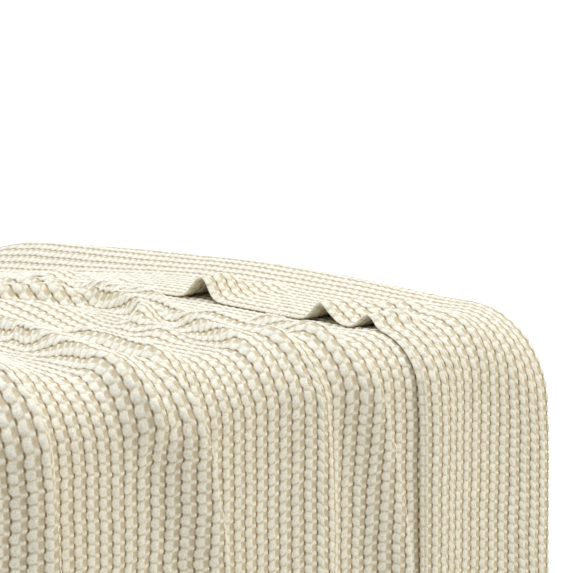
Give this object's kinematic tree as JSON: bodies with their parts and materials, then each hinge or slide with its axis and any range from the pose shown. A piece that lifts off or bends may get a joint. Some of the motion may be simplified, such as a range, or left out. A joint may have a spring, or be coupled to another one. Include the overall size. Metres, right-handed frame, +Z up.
{
  "type": "waffle weave cotton blanket lying over a plain mattress and bed base",
  "caption": "Blanket of waffle weave cotton draped over a plain mattress on a bed base, folded back on itself at the foot end and hanging down both long sides in soft folds.",
  "frame": {"origin": "on the floor, under the middle of the whole", "axes": "+Z up, +X towards the foot of the bed where the blanket is folded back, -Y is the long side seen in the picture"},
  "size_m": [2.064, 1.0346, 0.5538],
  "materials": {
    "bed_base": "plain woven upholstery",
    "mattress": "plain ticking",
    "blanket": "undyed cream cotton, waffle weave"
  },
  "bodies": {
    "root": {"bed_base": "bed_base", "mattress": "mattress", "blanket": "blanket"}
  },
  "joints": []
}
